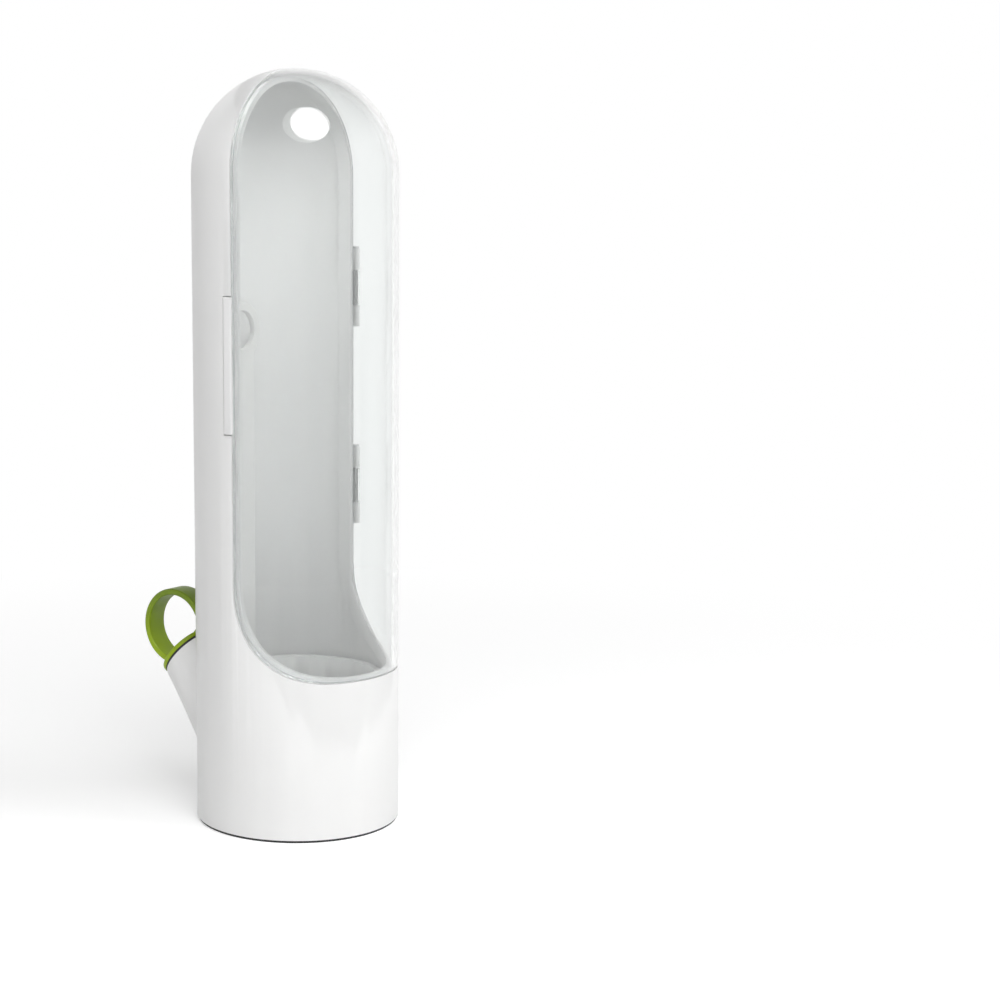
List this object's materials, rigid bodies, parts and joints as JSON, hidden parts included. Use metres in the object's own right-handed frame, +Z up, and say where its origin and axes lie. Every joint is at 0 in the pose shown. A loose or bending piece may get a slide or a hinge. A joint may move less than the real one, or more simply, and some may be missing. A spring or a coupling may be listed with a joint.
{
  "type": "herb keeper",
  "caption": "Upright fridge pod with a white back and base, side-hinged clear front door, slotted lift-out basket, and a rear water spout closed by a green pull-ring stopper.",
  "frame": {"origin": "Centre of the underside, on the axis of the round body.", "axes": "+Z up, +X towards the clear front door, -X towards the spout, +Y towards the hinge side."},
  "size_m": [0.1075, 0.0785, 0.27],
  "materials": {
    "white_shell": "satin white moulding",
    "floor_white": "fine matte white",
    "clear_door": "clear polished plastic",
    "grip_white": "glossy white strip",
    "basket_white": "fine matte white",
    "dark_rubber": "matte dark grey",
    "seal_rubber": "matte dark",
    "pin_steel": "drawn wire",
    "stopper_green": "soft satin lime green"
  },
  "bodies": {
    "pod": {"body_shell": "white_shell", "base_cap": "floor_white", "base_seal": "seal_rubber", "foot_ring": "dark_rubber", "hinge_pin_lower": "pin_steel", "hinge_pin_upper": "pin_steel"},
    "door": {"door_hood": "clear_door", "door_grip": "grip_white"},
    "basket": {"basket_cup": "basket_white", "basket_handle": "basket_white"},
    "stopper": {"stopper_cap": "stopper_green", "stopper_seal": "seal_rubber"}
  },
  "joints": [
    {"name": "door_hinge", "type": "hinge", "parent": "pod", "child": "door", "pos_m": [0, 0.0393, 0], "axis": [0, 0, 1], "range_deg": [0, 115]},
    {"name": "basket_lift", "type": "slide", "parent": "pod", "child": "basket", "axis": [0, 0, 1], "range_m": [0, 0.054]},
    {"name": "stopper_pull", "type": "slide", "parent": "pod", "child": "stopper", "axis": [-0.766, 0, 0.6428], "range_m": [0, 0.03]}
  ]
}
